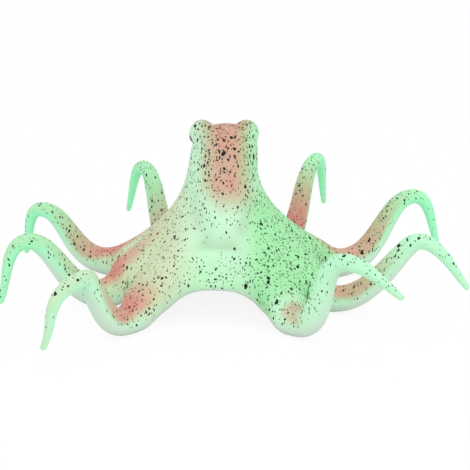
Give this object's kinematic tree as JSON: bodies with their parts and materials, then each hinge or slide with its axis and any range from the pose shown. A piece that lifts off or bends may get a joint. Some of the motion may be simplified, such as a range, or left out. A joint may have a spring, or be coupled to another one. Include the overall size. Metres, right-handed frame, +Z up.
{
  "type": "aquarium octopus ornament",
  "caption": "Soft pale green octopus that stands on the dips of its outspread arms, with a domed head, a hanging mantle, black bead eyes and arms that flex",
  "frame": {"origin": "the middle of the ornament's footprint, on the floor that its arms stand on", "axes": "+Z up; +X across the widest spread of the arms, to the right in the picture; +Y away from the viewer, the way the octopus faces"},
  "size_m": [0.1556, 0.142, 0.0613],
  "materials": {
    "soft_rubber": "satin pale green moulded silicone rubber with a salmon blush and fine black flecks",
    "eye_bead": "glossy black"
  },
  "bodies": {
    "torso": {"web": "soft_rubber", "mantle": "soft_rubber", "head": "soft_rubber", "eye_l": "eye_bead", "eye_r": "eye_bead", "arm_root_a4": "soft_rubber", "arm_root_a3": "soft_rubber", "arm_root_a2": "soft_rubber", "arm_root_a1": "soft_rubber", "arm_root_b1": "soft_rubber", "arm_root_b2": "soft_rubber", "arm_root_b3": "soft_rubber", "arm_root_b4": "soft_rubber"},
    "limb_a4": {"arm_limb_a4": "soft_rubber"},
    "tip_a4": {"arm_tip_a4": "soft_rubber"},
    "limb_a3": {"arm_limb_a3": "soft_rubber"},
    "tip_a3": {"arm_tip_a3": "soft_rubber"},
    "limb_a2": {"arm_limb_a2": "soft_rubber"},
    "tip_a2": {"arm_tip_a2": "soft_rubber"},
    "limb_a1": {"arm_limb_a1": "soft_rubber"},
    "tip_a1": {"arm_tip_a1": "soft_rubber"},
    "limb_b1": {"arm_limb_b1": "soft_rubber"},
    "tip_b1": {"arm_tip_b1": "soft_rubber"},
    "limb_b2": {"arm_limb_b2": "soft_rubber"},
    "tip_b2": {"arm_tip_b2": "soft_rubber"},
    "limb_b3": {"arm_limb_b3": "soft_rubber"},
    "tip_b3": {"arm_tip_b3": "soft_rubber"},
    "limb_b4": {"arm_limb_b4": "soft_rubber"},
    "tip_b4": {"arm_tip_b4": "soft_rubber"}
  },
  "joints": [
    {"name": "lift_a4", "type": "hinge", "parent": "torso", "child": "limb_a4", "pos_m": [-0.04021, -0.04988, 0.01017], "axis": [-0.7781, 0.6281, -0.0026], "range_deg": [-5, 20], "stiffness_Nm_per_rad": 0.02},
    {"name": "curl_a4", "type": "hinge", "parent": "limb_a4", "child": "tip_a4", "pos_m": [-0.04489, -0.05558, 0.02439], "axis": [-0.776, 0.6307, 0], "range_deg": [-8, 35], "stiffness_Nm_per_rad": 0.004},
    {"name": "lift_a3", "type": "hinge", "parent": "torso", "child": "limb_a3", "pos_m": [-0.05409, -0.02338, 0.0109], "axis": [-0.3731, 0.9278, 0.0015], "range_deg": [-5, 20], "stiffness_Nm_per_rad": 0.02},
    {"name": "curl_a3", "type": "hinge", "parent": "limb_a3", "child": "tip_a3", "pos_m": [-0.0673, -0.02874, 0.02653], "axis": [-0.3746, 0.9272, 0], "range_deg": [-8, 35], "stiffness_Nm_per_rad": 0.004},
    {"name": "lift_a2", "type": "hinge", "parent": "torso", "child": "limb_a2", "pos_m": [-0.05699, 0.01424, 0.00974], "axis": [0.246, 0.9691, 0.0181], "range_deg": [-5, 20], "stiffness_Nm_per_rad": 0.02},
    {"name": "curl_a2", "type": "hinge", "parent": "limb_a2", "child": "tip_a2", "pos_m": [-0.06972, 0.01694, 0.02251], "axis": [0.23, 0.9732, 0], "range_deg": [-8, 35], "stiffness_Nm_per_rad": 0.004},
    {"name": "lift_a1", "type": "hinge", "parent": "torso", "child": "limb_a1", "pos_m": [-0.02928, 0.04692, 0.01096], "axis": [0.8663, 0.4994, 0.0099], "range_deg": [-5, 20], "stiffness_Nm_per_rad": 0.02},
    {"name": "curl_a1", "type": "hinge", "parent": "limb_a1", "child": "tip_a1", "pos_m": [-0.03498, 0.05609, 0.02707], "axis": [0.8563, 0.5165, 0], "range_deg": [-8, 35], "stiffness_Nm_per_rad": 0.004},
    {"name": "lift_b1", "type": "hinge", "parent": "torso", "child": "limb_b1", "pos_m": [0.02547, 0.04663, 0.01167], "axis": [0.8721, -0.4893, 0.0031], "range_deg": [-5, 20], "stiffness_Nm_per_rad": 0.02},
    {"name": "curl_b1", "type": "hinge", "parent": "limb_b1", "child": "tip_b1", "pos_m": [0.03269, 0.05976, 0.02948], "axis": [0.8746, -0.4848, 0], "range_deg": [-8, 35], "stiffness_Nm_per_rad": 0.004},
    {"name": "lift_b2", "type": "hinge", "parent": "torso", "child": "limb_b2", "pos_m": [0.05121, 0.01324, 0.01138], "axis": [0.2829, -0.9592, -0.0022], "range_deg": [-5, 20], "stiffness_Nm_per_rad": 0.02},
    {"name": "curl_b2", "type": "hinge", "parent": "limb_b2", "child": "tip_b2", "pos_m": [0.06521, 0.01729, 0.0276], "axis": [0.2807, -0.9598, 0], "range_deg": [-8, 35], "stiffness_Nm_per_rad": 0.004},
    {"name": "lift_b3", "type": "hinge", "parent": "torso", "child": "limb_b3", "pos_m": [0.04672, -0.02756, 0.01105], "axis": [-0.3006, -0.953, 0.0382], "range_deg": [-5, 20], "stiffness_Nm_per_rad": 0.02},
    {"name": "curl_b3", "type": "hinge", "parent": "limb_b3", "child": "tip_b3", "pos_m": [0.06143, -0.03096, 0.0276], "axis": [-0.2706, -0.9627, 0], "range_deg": [-8, 35], "stiffness_Nm_per_rad": 0.004},
    {"name": "lift_b4", "type": "hinge", "parent": "torso", "child": "limb_b4", "pos_m": [0.0272, -0.05007, 0.01159], "axis": [-0.6823, -0.7294, 0.0491], "range_deg": [-5, 20], "stiffness_Nm_per_rad": 0.02},
    {"name": "curl_b4", "type": "hinge", "parent": "limb_b4", "child": "tip_b4", "pos_m": [0.03592, -0.05502, 0.02921], "axis": [-0.6018, -0.7986, 0], "range_deg": [-8, 35], "stiffness_Nm_per_rad": 0.004}
  ]
}
